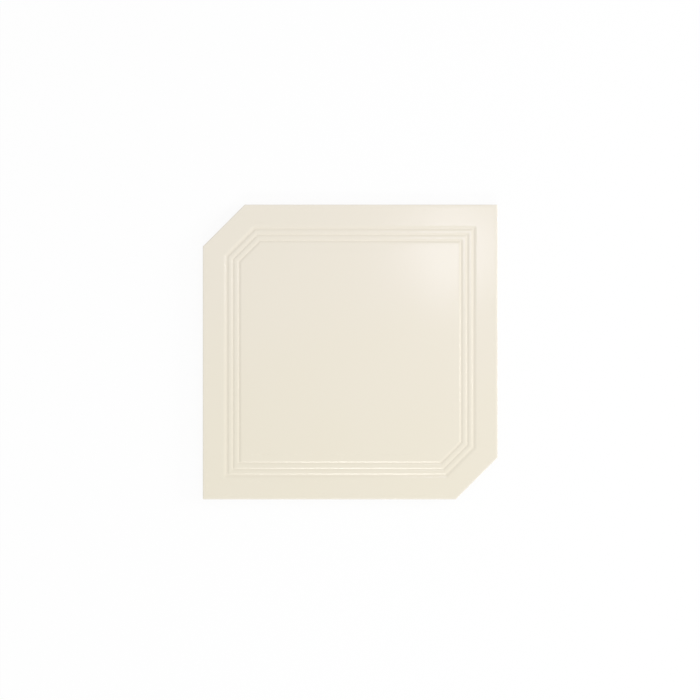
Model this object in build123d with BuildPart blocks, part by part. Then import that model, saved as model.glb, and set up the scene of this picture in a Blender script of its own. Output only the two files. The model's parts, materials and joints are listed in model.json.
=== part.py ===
from build123d import *
import os
from math import sqrt

# A pressed porcelain tile: a square plate with two opposite corners cut off at 45 degrees,
# a frame of fine grooves moulded into its face, and a keyed back.
# The origin is the middle of the back, +Z points out of the face, +Y towards the rear side.

# Plate, in millimetres
side = 200.0  # the square that the outline is cut from
corner_cut = 28.4  # taken off along each side at the two cut corners
thickness = 9.0
face_arris = 0.7  # radius of the round between the face and the sides
back_arris = 0.5  # bevel between the sides and the back

# Frame of grooves that runs parallel to all six sides
frame_inset = 16.4  # from the side of the tile to the bottom of the outermost groove
groove_count = 3
groove_pitch = 4.15
outer_depth = 0.46  # the outermost groove is the widest and deepest
groove_depth = 0.43
bead_drop = 0.08  # how far the beads between the grooves stay below the face
bead_land = 0.7  # width of the flat on top of each bead
border_slope = 2.6  # width of the fall from the border to the outermost groove
panel_slope = 1.8  # width of the rise from the innermost groove to the panel
outer_flank = 0.8  # from the bottom of the outermost groove to the steepest line of its walls
groove_flank = 0.45  # the same for the narrower grooves inside it
shoulder_lead = 0.03  # the slopes start this far above the face, so they meet it at a slight angle
cutter_height = 1.0  # height of the groove section above the face

# Keyed back: a grid of shallow square recesses between ribs
key_pitch = 30.0
key_rib = 4.0
key_depth = 0.6
key_margin = 10.0  # least width of the plain band around the recesses


def outline_corners(inset):
    """Corners of the outline moved inwards by inset, counterclockwise from the left front corner."""
    reach = side / 2 - inset
    cut_line = side - corner_cut - inset * sqrt(2)
    return [
        (-reach, -reach),
        (cut_line - reach, -reach),
        (reach, reach - cut_line),
        (reach, reach),
        (reach - cut_line, reach),
        (-reach, cut_line - reach),
    ]


def wave_side(start, end, start_share):
    """Two arcs from start to end, level at both ends, that meet at start_share of the way."""
    meeting = tuple(first + (last - first) * start_share for first, last in zip(start, end))
    TangentArc(start, meeting, tangent=(1, 0))
    TangentArc(end, meeting, tangent=(-1, 0))


def groove_walls(outer_top, bottom, inner_top, flank):
    """Both walls of one groove, each steepest at flank from its bottom."""
    fall = bottom[0] - outer_top[0]
    rise = inner_top[0] - bottom[0]
    wave_side(outer_top, bottom, 1 - flank / fall)
    wave_side(bottom, inner_top, flank / rise)


# Tops and bottoms of the groove section, with x inwards from the outermost bottom and y above the face
frame_reach = side / 2 - frame_inset
depths = [outer_depth] + [groove_depth] * (groove_count - 1)
flanks = [outer_flank] + [groove_flank] * (groove_count - 1)
bottoms = [(groove * groove_pitch, -depth) for groove, depth in enumerate(depths)]
bead_middles = [bottom[0] + groove_pitch / 2 for bottom in bottoms[:-1]]
border_shoulder = (-border_slope, shoulder_lead)
panel_shoulder = (bottoms[-1][0] + panel_slope, shoulder_lead)
outer_tops = [border_shoulder] + [(middle + bead_land / 2, -bead_drop) for middle in bead_middles]
inner_tops = [(middle - bead_land / 2, -bead_drop) for middle in bead_middles] + [panel_shoulder]
key_count = int((side - 2 * key_margin + key_rib) // key_pitch)

with BuildPart() as tile:
    # Plate with its edges eased
    with BuildSketch():
        with BuildLine():
            Polyline(*outline_corners(0), close=True)
        make_face()
    extrude(amount=thickness)
    fillet(tile.faces().sort_by(Axis.Z)[-1].edges(), face_arris)
    chamfer(tile.faces().sort_by(Axis.Z)[0].edges(), back_arris)

    # Line of the outermost groove, closed at the middle of the left side
    frame_start = (-frame_reach, 0)
    with BuildLine(Plane.XY.offset(thickness)) as frame_line:
        Polyline(frame_start, *outline_corners(frame_inset), frame_start)

    # Section of the grooves, swept along that line and cut out of the face
    section_plane = Plane((-frame_reach, 0, thickness), x_dir=(1, 0, 0), z_dir=(0, -1, 0))
    with BuildSketch(section_plane) as frame_section:
        with BuildLine():
            for outer_top, bottom, inner_top, flank in zip(outer_tops, bottoms, inner_tops, flanks):
                groove_walls(outer_top, bottom, inner_top, flank)
            for land_start, land_end in zip(inner_tops, outer_tops[1:]):
                Line(land_start, land_end)
            Polyline(
                panel_shoulder,
                (panel_shoulder[0], cutter_height),
                (border_shoulder[0], cutter_height),
                border_shoulder,
            )
        make_face()
    sweep(
        sections=frame_section.sketch,
        path=frame_line.line,
        transition=Transition.RIGHT,
        mode=Mode.SUBTRACT,
    )

    # Recesses in the back, trimmed by the plain band that follows the outline
    with BuildSketch():
        with GridLocations(key_pitch, key_pitch, key_count, key_count):
            Rectangle(key_pitch - key_rib, key_pitch - key_rib)
        with BuildLine():
            Polyline(*outline_corners(key_margin), close=True)
        make_face(mode=Mode.INTERSECT)
    extrude(amount=key_depth, mode=Mode.SUBTRACT)

tile.part.label = "tile"
os.makedirs("parts", exist_ok=True)
export_step(tile.part, "parts/tile.step")
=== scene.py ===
import json
import math

import bmesh
import bpy
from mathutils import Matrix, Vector, noise


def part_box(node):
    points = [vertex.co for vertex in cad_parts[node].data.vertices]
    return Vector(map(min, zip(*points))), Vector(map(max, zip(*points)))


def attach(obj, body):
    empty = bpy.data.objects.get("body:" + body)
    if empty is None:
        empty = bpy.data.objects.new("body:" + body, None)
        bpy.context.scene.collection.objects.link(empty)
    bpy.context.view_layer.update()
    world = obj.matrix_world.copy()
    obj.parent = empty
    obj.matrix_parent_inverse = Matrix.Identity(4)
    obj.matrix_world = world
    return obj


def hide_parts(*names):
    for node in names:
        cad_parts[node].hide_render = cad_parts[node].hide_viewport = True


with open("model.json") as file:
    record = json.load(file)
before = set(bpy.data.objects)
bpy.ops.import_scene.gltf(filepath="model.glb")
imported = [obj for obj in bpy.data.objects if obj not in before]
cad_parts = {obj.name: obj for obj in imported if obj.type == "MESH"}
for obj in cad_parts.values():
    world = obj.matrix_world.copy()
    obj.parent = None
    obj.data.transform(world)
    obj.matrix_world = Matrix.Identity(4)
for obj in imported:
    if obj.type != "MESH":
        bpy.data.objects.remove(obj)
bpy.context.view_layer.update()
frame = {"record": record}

# Everything is in metres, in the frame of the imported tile: its back is at z = 0, and its face looks up
MM = 0.001

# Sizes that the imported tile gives
tile_low, tile_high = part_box("tile")
side = tile_high.x - tile_low.x
face_height = tile_high.z
mounts = {mount["name"]: mount for mount in frame["record"]["mounts"]}
cut_x, cut_y = mounts["left_rear_cut"]["pos_m"][:2]
cut_line = cut_y - cut_x  # y - x along the cut at the left rear corner

# Edges, as on the solid, with the upright corners eased by the glaze
face_arris = 0.7 * MM
back_arris = 0.5 * MM  # a bevel on the solid, and a round of that size here
corner_round = 0.45 * MM

# Frame of grooves, as on the solid
frame_inset = 16.4 * MM
groove_count = 3
groove_pitch = 4.15 * MM
outer_depth = 0.46 * MM
groove_depth = 0.43 * MM
bead_drop = 0.08 * MM
bead_land = 0.7 * MM
border_slope = 2.6 * MM
panel_slope = 1.8 * MM
outer_flank = 0.8 * MM
groove_flank = 0.45 * MM

# Keyed back, as on the solid, with soft pressed walls in place of upright ones
key_pitch = 30.0 * MM
key_rib = 4.0 * MM
key_depth = 0.6 * MM
key_margin = 10.0 * MM
key_wall = 0.8 * MM
key_wall_meeting = 0.5  # share of the wall at which its two arcs meet
key_round = 2.0 * MM

# Slow unevenness of the fired face, which only ever sinks below the face plane
sink_depth = 0.03 * MM
sink_length = 45.0 * MM
sink_slice = 0.37  # where the noise behind it is cut

# Density of the mesh
side_spacing = 2.6 * MM
corner_steps = 4
upright_steps = 6
arris_steps = 8
border_steps = 7
arc_steps = 7
panel_steps = 16
key_spacing = 6.5 * MM
smooth_angle = math.radians(35)  # edges that turn more than this show as creases

# Where the glaze stops on the sides
glaze_line = 6.0 * MM  # lowest height of the line
glaze_line_wander = 1.2 * MM
glaze_line_waves = 14.0 * MM
glaze_line_softness = 0.25 * MM

# Glaze: clouded, warmer to the front, darker in the grooves as pooled glaze and painted shade, and paler
# on the arris as thinner glaze and a painted highlight
glaze_warm = (0.824, 0.770, 0.630, 1)
glaze_cool = (0.836, 0.780, 0.680, 1)
glaze_pooled_and_shaded = (0.80, 0.73, 0.60, 1)
glaze_thin_and_highlit = (0.86, 0.82, 0.73, 1)
cloud_detail = 2.0  # fineness of the slow clouds, in the glaze and in the body
glaze_clouds = 55.0 * MM
clouding = 0.4  # share of the clouds in the change of tone
pooling_and_shade = 0.25  # share of the deep colour, pooled glaze and painted shade, in the bottoms of the grooves
pooling_and_shade_start = 4.0 * MM  # from the edge of the tile
pooling_and_shade_full = 6.0 * MM
thinning_and_highlight = 0.35  # share of the paler colour on the arris, thinner glaze and a painted highlight
thinning_and_highlight_full = 0.2 * MM  # from the edge of the tile
thinning_and_highlight_end = 1.6 * MM
glaze_roughness = 0.2
gloss_spread = 0.02
gloss_clouds = 20.0 * MM
peel_length = 3.5 * MM
peel_height = 0.003 * MM

# Bare body: fine grains over a slow drift of tone
body_dark = (0.61, 0.56, 0.48, 1)
body_light = (0.71, 0.66, 0.57, 1)
body_toned = (0.68, 0.61, 0.51, 1)
toning = 0.5  # largest share of the toned colour
tone_clouds = 22.0 * MM
grain_length = 0.45 * MM
grain_dark_level = 0.35
grain_light_level = 0.7
grain_detail = 4.0
body_roughness = 0.85
grit_length = 0.4 * MM
grit_height = 0.03 * MM
grit_detail = 3.0

# Light: an even sky, two broad lamps, and small ones that make the highlights in the glaze
# Each lamp has its target, azimuth and elevation in degrees, reach, size, power in watts and colour
white_light = (1, 1, 1)
cool_light = (0.78, 0.80, 1.0)
white_colour = (1, 1, 1, 1)
sky_strength = 0.739
plain_white = 1.0  # strength that the camera sees as white
lamps = {
    "side_lamp": ((0, 0, 0), 6, 23, 1.6, 0.5, 7.2, white_light),
    "front_lamp": ((0, 0, 0), -77, 47, 3.0, 1.0, 6.2, white_light),
    "side_spot": ((0.08, -0.009, face_height), -1, 54, 1.0, 0.08, 0.28, white_light),
    "front_spot": ((-0.01, -0.08, face_height), -88.4, 46, 2.0, 0.28, 4.0, white_light),
    "glare_lamp": ((0.065, 0.065, face_height), 42, 84.9, 0.4, 0.07, 0.07, cool_light),
}

# Floor, a hair below the tile
floor_reach = 4.0
floor_gap = 0.05 * MM
paper_colour = (0.95, 0.95, 0.95, 1)
paper_white = 0.9  # share of plain white in what the camera sees of the floor

# Camera, above the tile as in the photograph, which is measured in pixels
photo_width = 700
tile_width_in_photo = 294.9
tile_centre_in_photo = (350.2, 352.0)
lens = 100.0  # focal length in millimetres
sensor = 36.0  # width in millimetres


def outline_corners():
    """Corners of the tile's outline, counterclockwise from the left front corner."""
    reach = side / 2
    return [
        Vector((-reach, -reach)),
        Vector((cut_line - reach, -reach)),
        Vector((reach, reach - cut_line)),
        Vector((reach, reach)),
        Vector((reach - cut_line, reach)),
        Vector((-reach, cut_line - reach)),
    ]


def outward(start, end):
    """Unit normal to the right of the line from start to end."""
    along = (end - start).normalized()
    return Vector((along.y, -along.x))


def inset_corners(corners, inset):
    """Corners of a convex outline moved inwards by inset, with mitred corners."""
    moved = []
    for index, corner in enumerate(corners):
        before = outward(corners[index - 1], corner)
        after = outward(corner, corners[(index + 1) % len(corners)])
        moved.append(corner - (before + after) * (inset / (1 + before.dot(after))))
    return moved


def rounded_loop(corners, radius, counts):
    """Points of an outline with rounded corners and each side divided into its count of steps."""
    centres = inset_corners(corners, radius)
    arcs = []
    for index, corner in enumerate(corners):
        before = outward(corners[index - 1], corner)
        after = outward(corner, corners[(index + 1) % len(corners)])
        first_angle = math.atan2(before.y, before.x)
        turn = before.angle(after)
        arc = []
        for step in range(corner_steps + 1):
            angle = first_angle + turn * step / corner_steps
            arc.append(centres[index] + Vector((math.cos(angle), math.sin(angle))) * radius)
        arcs.append(arc)
    loop = []
    for index, arc in enumerate(arcs):
        loop.extend(arc)
        next_start = arcs[(index + 1) % len(arcs)][0]
        for step in range(1, counts[index]):
            loop.append(arc[-1].lerp(next_start, step / counts[index]))
    return loop


def side_counts(corners, spacing):
    """How many steps each side of an outline is divided into."""
    lengths = [(corners[(i + 1) % len(corners)] - corner).length for i, corner in enumerate(corners)]
    return [max(1, round(length / spacing)) for length in lengths]


def wave_side(start, end, start_share):
    """Points after start on two arcs to end, level at both ends, that meet at start_share of the way."""
    run = end[0] - start[0]
    rise = end[1] - start[1]
    turn = 2 * math.atan2(abs(rise), run)
    both_radii = (run ** 2 + rise ** 2) / (2 * abs(rise))
    start_radius = both_radii * start_share
    end_radius = both_radii * (1 - start_share)
    upward = math.copysign(1, rise)
    points = []
    for step in range(1, arc_steps + 1):
        angle = turn * step / arc_steps
        climb = upward * start_radius * (1 - math.cos(angle))
        points.append((start[0] + start_radius * math.sin(angle), start[1] + climb))
    for step in range(1, arc_steps + 1):
        angle = turn * (1 - step / arc_steps)
        climb = upward * end_radius * (1 - math.cos(angle))
        points.append((end[0] - end_radius * math.sin(angle), end[1] - climb))
    return points


def groove_section():
    """Inset and height across the grooves, from the border to the panel."""
    depths = [outer_depth] + [groove_depth] * (groove_count - 1)
    flanks = [outer_flank] + [groove_flank] * (groove_count - 1)
    bottoms = [(frame_inset + i * groove_pitch, face_height - depth) for i, depth in enumerate(depths)]
    outer_tops = [(bottoms[0][0] - border_slope, face_height)]
    inner_tops = []
    for bottom in bottoms[:-1]:
        bead_middle = bottom[0] + groove_pitch / 2
        inner_tops.append((bead_middle - bead_land / 2, face_height - bead_drop))
        outer_tops.append((bead_middle + bead_land / 2, face_height - bead_drop))
    inner_tops.append((bottoms[-1][0] + panel_slope, face_height))
    points = []
    for outer_top, bottom, inner_top, flank in zip(outer_tops, bottoms, inner_tops, flanks):
        fall = bottom[0] - outer_top[0]
        rise = inner_top[0] - bottom[0]
        points.append(outer_top)
        points.extend(wave_side(outer_top, bottom, 1 - flank / fall))
        points.extend(wave_side(bottom, inner_top, flank / rise))
    return points


def tile_profile():
    """Inset and height from the edge of the back, up the side and over the grooves to the panel."""
    points = []
    for step in range(corner_steps + 1):
        angle = math.pi / 2 * step / corner_steps
        points.append((back_arris * (1 - math.sin(angle)), back_arris * (1 - math.cos(angle))))
    upright_top = face_height - face_arris
    for step in range(1, upright_steps):
        points.append((0.0, back_arris + (upright_top - back_arris) * step / upright_steps))
    for step in range(arris_steps + 1):
        angle = math.pi / 2 * step / arris_steps
        points.append((face_arris * (1 - math.cos(angle)), upright_top + face_arris * math.sin(angle)))
    grooves = groove_section()
    border_width = grooves[0][0] - face_arris
    for step in range(1, border_steps):
        points.append((face_arris + border_width * step / border_steps, face_height))
    return points + grooves


def face_sink(x, y):
    """How far the fired face lies below its plane, from 0 to the full depth."""
    wave = noise.noise(Vector((x / sink_length, y / sink_length, sink_slice)))
    return sink_depth * min(1.0, max(0.0, 0.5 + 0.5 * wave))


def add_loop(mesh, inset_layer, points, height, inset, sunk=False):
    """A loop of vertices at one height that remember how far they are from the tile's edge."""
    loop = []
    for point in points:
        sink = face_sink(point.x, point.y) if sunk else 0.0
        vertex = mesh.verts.new((point.x, point.y, height - sink))
        vertex[inset_layer] = inset
        loop.append(vertex)
    return loop


def loft(mesh, loops):
    """Four-sided faces between each loop of vertices and the next."""
    for lower, upper in zip(loops, loops[1:]):
        for index in range(len(lower)):
            after = (index + 1) % len(lower)
            mesh.faces.new((lower[index], lower[after], upper[after], upper[index]))


def add_shell(mesh, inset_layer):
    """Sides, arris, border, grooves and panel, open at the back."""
    corners = outline_corners()
    counts = side_counts(corners, side_spacing)
    profile = tile_profile()
    loops = []
    for inset, height in profile:
        points = rounded_loop(inset_corners(corners, inset), corner_round, counts)
        on_face = inset > face_arris
        loops.append(add_loop(mesh, inset_layer, points, height, inset, on_face))
    panel_points = points
    panel_inset = profile[-1][0]
    panel_reach = side / 2 - panel_inset
    for step in range(1, panel_steps):
        share = 1 - step / panel_steps
        shrunk = [point * share for point in panel_points]
        inset = side / 2 - panel_reach * share
        loops.append(add_loop(mesh, inset_layer, shrunk, face_height, inset, True))
    loft(mesh, loops)
    middle = mesh.verts.new((0, 0, face_height - face_sink(0, 0)))
    middle[inset_layer] = side / 2
    last = loops[-1]
    for index in range(len(last)):
        mesh.faces.new((last[index], last[(index + 1) % len(last)], middle))


def clip_corners(corners, across, limit):
    """Corners of a convex outline with what lies past limit in the direction across cut off."""
    kept = []
    for index, corner in enumerate(corners):
        before = corners[index - 1]
        over = corner.dot(across) - limit
        over_before = before.dot(across) - limit
        if over * over_before < 0:
            kept.append(before.lerp(corner, over_before / (over_before - over)))
        if over <= 0:
            kept.append(corner)
    return kept


def recess_corners(centre):
    """Corners of one recess in the back, trimmed beside the cut corners of the tile."""
    reach = (key_pitch - key_rib) / 2
    square = [centre + Vector(offset) * reach for offset in ((-1, -1), (1, -1), (1, 1), (-1, 1))]
    diagonal = Vector((1, -1)).normalized()
    limit = cut_line / math.sqrt(2) - key_margin
    return clip_corners(clip_corners(square, diagonal, limit), -diagonal, limit)


def add_recess(mesh, inset_layer, centre):
    """One shallow recess of the back, with soft walls."""
    corners = recess_corners(centre)
    counts = side_counts(corners, key_spacing)
    rim = (0.0, 0.0)
    wall = [rim] + wave_side(rim, (key_wall, key_depth), key_wall_meeting)
    loops = []
    for inset, height in wall:
        points = rounded_loop(inset_corners(corners, inset), key_round, counts)
        loops.append(add_loop(mesh, inset_layer, points, height, side / 2))
    loft(mesh, loops)
    mesh.faces.new(loops[-1])


def add_back(mesh, inset_layer):
    """The keyed back: a grid of recesses and the flat lattice of ribs around them."""
    count = int((side - 2 * key_margin + key_rib) // key_pitch)
    first = -(count - 1) / 2 * key_pitch
    for row in range(count):
        for column in range(count):
            add_recess(mesh, inset_layer, Vector((first + column * key_pitch, first + row * key_pitch)))
    rims = [edge for edge in mesh.edges if edge.is_boundary]
    bmesh.ops.triangle_fill(mesh, use_beauty=True, use_dissolve=False, edges=rims, normal=(0, 0, -1))


def build_tile():
    """The whole tile as one closed mesh."""
    mesh = bmesh.new()
    inset_layer = mesh.verts.layers.float.new("inset")
    add_shell(mesh, inset_layer)
    add_back(mesh, inset_layer)
    bmesh.ops.recalc_face_normals(mesh, faces=mesh.faces)
    data = bpy.data.meshes.new("glazed_tile")
    mesh.to_mesh(data)
    mesh.free()
    for polygon in data.polygons:
        polygon.use_smooth = True
    data.set_sharp_from_angle(angle=smooth_angle)
    tile = bpy.data.objects.new("glazed_tile", data)
    bpy.context.scene.collection.objects.link(tile)
    return tile


def add_node(tree, kind, inputs=None, **settings):
    """A new node with its settings and its inputs, each a value or another node's output."""
    made = tree.nodes.new(kind)
    for name, value in settings.items():
        setattr(made, name, value)
    for name, value in (inputs or {}).items():
        if isinstance(value, bpy.types.NodeSocket):
            tree.links.new(value, made.inputs[name])
        else:
            made.inputs[name].default_value = value
    return made


# Sockets of a mix node: input 0 is the share, 2 and 3 are numbers and 6 and 7 are colours,
# and output 0 is a number and 2 a colour
def mix_colour(tree, share, first, second):
    """Colour that goes from first to second as share goes from 0 to 1."""
    inputs = {0: share, 6: first, 7: second}
    return add_node(tree, "ShaderNodeMix", inputs, data_type="RGBA").outputs[2]


def mix_value(tree, share, first, second):
    """Number that goes from first to second as share goes from 0 to 1."""
    return add_node(tree, "ShaderNodeMix", {0: share, 2: first, 3: second}).outputs[0]


def math_value(tree, operation, first, second):
    """Result of one arithmetic step."""
    return add_node(tree, "ShaderNodeMath", {0: first, 1: second}, operation=operation).outputs[0]


def ramp(tree, value, start, end):
    """Smooth share that is 0 at start and 1 at end."""
    inputs = {"Value": value, "From Min": start, "From Max": end}
    made = add_node(tree, "ShaderNodeMapRange", inputs, interpolation_type="SMOOTHSTEP")
    return made.outputs[0]


def cloud(tree, place, length, detail=cloud_detail):
    """Soft noise whose patches are about length across."""
    inputs = {"Vector": place, "Scale": 1 / length, "Detail": detail}
    return add_node(tree, "ShaderNodeTexNoise", inputs).outputs["Fac"]


def tile_material():
    """Cream glaze over the face and arris, bare pale body on the lower sides and the back."""
    material = bpy.data.materials.new("cream_glaze")
    material.use_nodes = True
    tree = material.node_tree
    shader = tree.nodes["Principled BSDF"]
    place = add_node(tree, "ShaderNodeTexCoord").outputs["Object"]
    axes = add_node(tree, "ShaderNodeSeparateXYZ", {"Vector": place}).outputs
    height = axes["Z"]
    inset = add_node(tree, "ShaderNodeAttribute", attribute_name="inset").outputs["Fac"]

    # Where the glaze is: above a line that wanders along the sides
    wander = math_value(tree, "MULTIPLY", cloud(tree, place, glaze_line_waves), glaze_line_wander)
    above = math_value(tree, "SUBTRACT", height, wander)
    glazed = ramp(tree, above, glaze_line - glaze_line_softness, glaze_line + glaze_line_softness)

    # Glaze colour
    drift = ramp(tree, axes["Y"], tile_low.y, tile_high.y)
    tone = mix_value(tree, clouding, drift, cloud(tree, place, glaze_clouds))
    glaze = mix_colour(tree, tone, glaze_warm, glaze_cool)
    # Darker in the bottoms of the grooves: pooled glaze and painted shade
    pooled_and_shaded = ramp(tree, height, face_height, face_height - groove_depth)
    on_face = ramp(tree, inset, pooling_and_shade_start, pooling_and_shade_full)
    pooled_and_shaded_on_face = math_value(tree, "MULTIPLY", pooled_and_shaded, on_face)
    deepened_and_shaded = math_value(tree, "MULTIPLY", pooled_and_shaded_on_face, pooling_and_shade)
    glaze = mix_colour(tree, deepened_and_shaded, glaze, glaze_pooled_and_shaded)
    # Paler on the arris: thinner glaze and a painted highlight
    thinned_and_highlit = math_value(tree, "MULTIPLY", ramp(tree, inset, thinning_and_highlight_end, thinning_and_highlight_full), thinning_and_highlight)
    glaze = mix_colour(tree, thinned_and_highlit, glaze, glaze_thin_and_highlit)

    # Body colour
    speckle = cloud(tree, place, grain_length, grain_detail)
    grains = ramp(tree, speckle, grain_dark_level, grain_light_level)
    body = mix_colour(tree, grains, body_dark, body_light)
    toned = math_value(tree, "MULTIPLY", cloud(tree, place, tone_clouds), toning)
    body = mix_colour(tree, toned, body, body_toned)
    tree.links.new(mix_colour(tree, glazed, body, glaze), shader.inputs["Base Color"])

    # Gloss
    glossiest = glaze_roughness - gloss_spread
    dullest = glaze_roughness + gloss_spread
    gloss = mix_value(tree, cloud(tree, place, gloss_clouds), glossiest, dullest)
    tree.links.new(mix_value(tree, glazed, body_roughness, gloss), shader.inputs["Roughness"])

    # Relief too fine for the mesh, at its true height: orange peel in the glaze, grit in the body
    peel = math_value(tree, "MULTIPLY", cloud(tree, place, peel_length), peel_height)
    grit = math_value(tree, "MULTIPLY", cloud(tree, place, grit_length, grit_detail), grit_height)
    relief = mix_value(tree, glazed, grit, peel)
    bump = add_node(tree, "ShaderNodeBump", {"Height": relief, "Distance": 1.0, "Strength": 1.0})
    tree.links.new(bump.outputs["Normal"], shader.inputs["Normal"])
    return material


def shown(tree):
    """1 for rays that show a surface to the camera, also by mirror or glass, and 0 for others."""
    rays = add_node(tree, "ShaderNodeLightPath").outputs
    straight_or_mirrored = math_value(tree, "MAXIMUM", rays["Is Camera Ray"], rays["Is Glossy Ray"])
    return math_value(tree, "MAXIMUM", straight_or_mirrored, rays["Is Transmission Ray"])


def floor_material():
    """White floor that keeps a soft shadow. The camera and reflections see it as nearly plain white."""
    material = bpy.data.materials.new("white_floor")
    material.use_nodes = True
    tree = material.node_tree
    tree.nodes.clear()
    white_share = math_value(tree, "MULTIPLY", shown(tree), paper_white)
    paper = add_node(tree, "ShaderNodeBsdfDiffuse", {"Color": paper_colour})
    glow = add_node(tree, "ShaderNodeEmission", {"Color": white_colour, "Strength": plain_white})
    inputs = {0: white_share, 1: paper.outputs[0], 2: glow.outputs[0]}
    mixed = add_node(tree, "ShaderNodeMixShader", inputs)
    add_node(tree, "ShaderNodeOutputMaterial", {"Surface": mixed.outputs[0]})
    return material


def build_floor():
    """A wide plain floor just under the tile."""
    data = bpy.data.meshes.new("floor")
    square = ((-1, -1, 0), (1, -1, 0), (1, 1, 0), (-1, 1, 0))
    corners = [Vector(corner) * floor_reach for corner in square]
    data.from_pydata(corners, [], [(0, 1, 2, 3)])
    floor = bpy.data.objects.new("floor", data)
    floor.location.z = -floor_gap
    floor.data.materials.append(floor_material())
    bpy.context.scene.collection.objects.link(floor)
    return floor


def add_lamp(name, target, azimuth, elevation, reach, size, watts, colour):
    """A square lamp that looks at target from reach away, which the camera does not see."""
    turn = math.radians(azimuth)
    lift = math.radians(elevation)
    towards = Vector((math.cos(turn) * math.cos(lift), math.sin(turn) * math.cos(lift), math.sin(lift)))
    light = bpy.data.lights.new(name, "AREA")
    light.size = size
    light.energy = watts
    light.color = colour
    lamp = bpy.data.objects.new(name, light)
    lamp.location = Vector(target) + towards * reach
    lamp.rotation_euler = towards.to_track_quat("Z", "Y").to_euler()
    lamp.visible_camera = False
    bpy.context.scene.collection.objects.link(lamp)


def add_world(strength):
    """Even white light from all round. The camera and reflections see it as plain white."""
    world = bpy.data.worlds.new("studio")
    world.use_nodes = True
    tree = world.node_tree
    background = tree.nodes["Background"]
    background.inputs["Color"].default_value = white_colour
    tree.links.new(mix_value(tree, shown(tree), strength, plain_white), background.inputs["Strength"])
    bpy.context.scene.world = world


def add_camera():
    """A long lens straight above the tile, with the tile where the photograph has it."""
    metres_per_pixel = side / tile_width_in_photo
    data = bpy.data.cameras.new("camera")
    data.lens = lens
    data.sensor_width = sensor
    camera = bpy.data.objects.new("camera", data)
    right = (photo_width / 2 - tile_centre_in_photo[0]) * metres_per_pixel
    up = (tile_centre_in_photo[1] - photo_width / 2) * metres_per_pixel
    distance = photo_width * metres_per_pixel * lens / sensor
    camera.location = (right, up, face_height + distance)
    bpy.context.scene.collection.objects.link(camera)
    bpy.context.scene.camera = camera


tile = build_tile()
tile.data.materials.append(tile_material())
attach(tile, "root")
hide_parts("tile")

build_floor()
add_world(sky_strength)
for lamp_name, lamp_values in lamps.items():
    add_lamp(lamp_name, *lamp_values)
add_camera()
bpy.context.scene.view_settings.view_transform = "Standard"
